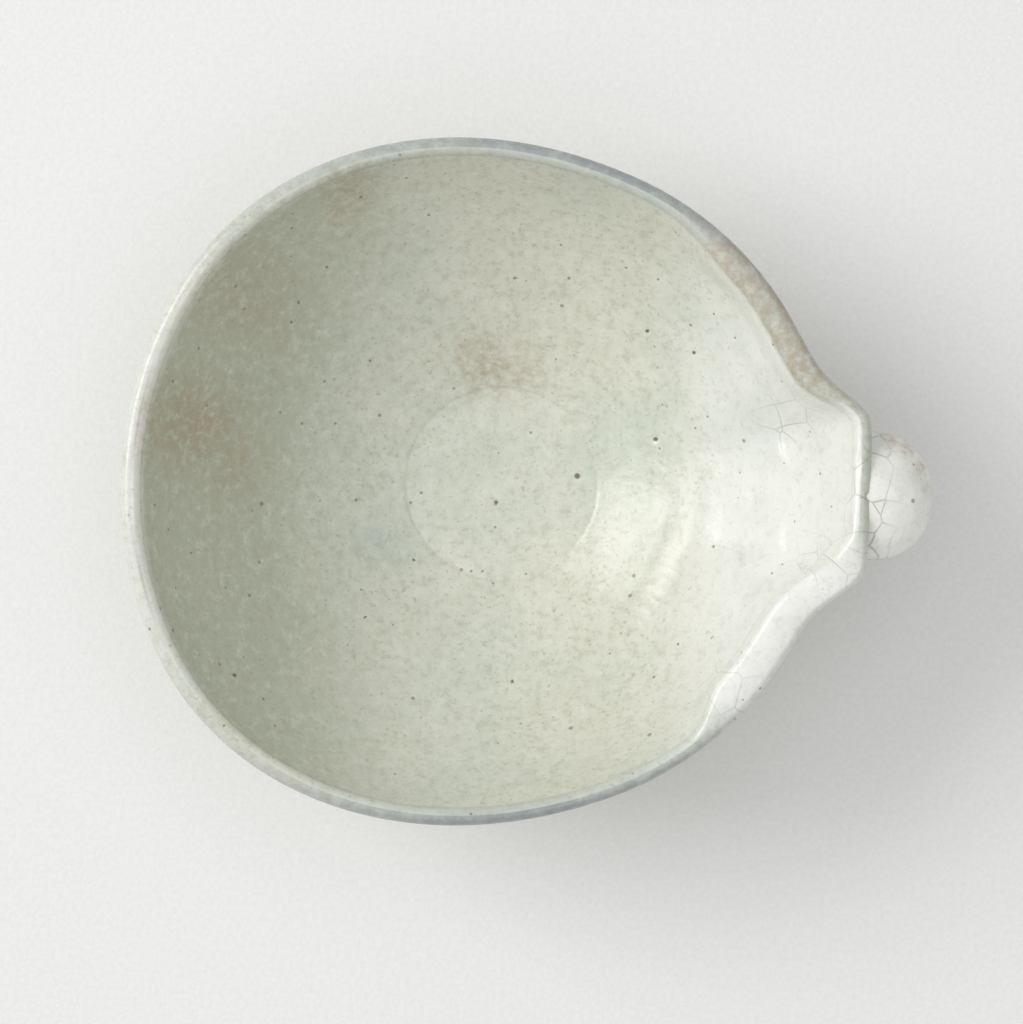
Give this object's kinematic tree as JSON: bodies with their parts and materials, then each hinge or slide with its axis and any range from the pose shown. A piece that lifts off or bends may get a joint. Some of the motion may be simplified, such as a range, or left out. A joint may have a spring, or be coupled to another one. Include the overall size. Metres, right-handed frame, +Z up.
{
  "type": "spouted bowl",
  "caption": "Thrown stoneware bowl with an egg-shaped rim drawn out into a blunt pinched lip, closed by a luted clay pellet, on a foot ring.",
  "frame": {"origin": "on the table, under the middle of the whole length and width", "axes": "+X from the back of the bowl to the lip and its pellet, +Y across, +Z up out of the bowl"},
  "size_m": [0.1367, 0.1154, 0.046],
  "materials": {
    "glaze": "gloss",
    "bare_clay": "matte"
  },
  "bodies": {
    "root": {"bowl_body": "glaze", "foot_ring": "bare_clay", "spout_knob": "glaze"}
  },
  "joints": []
}
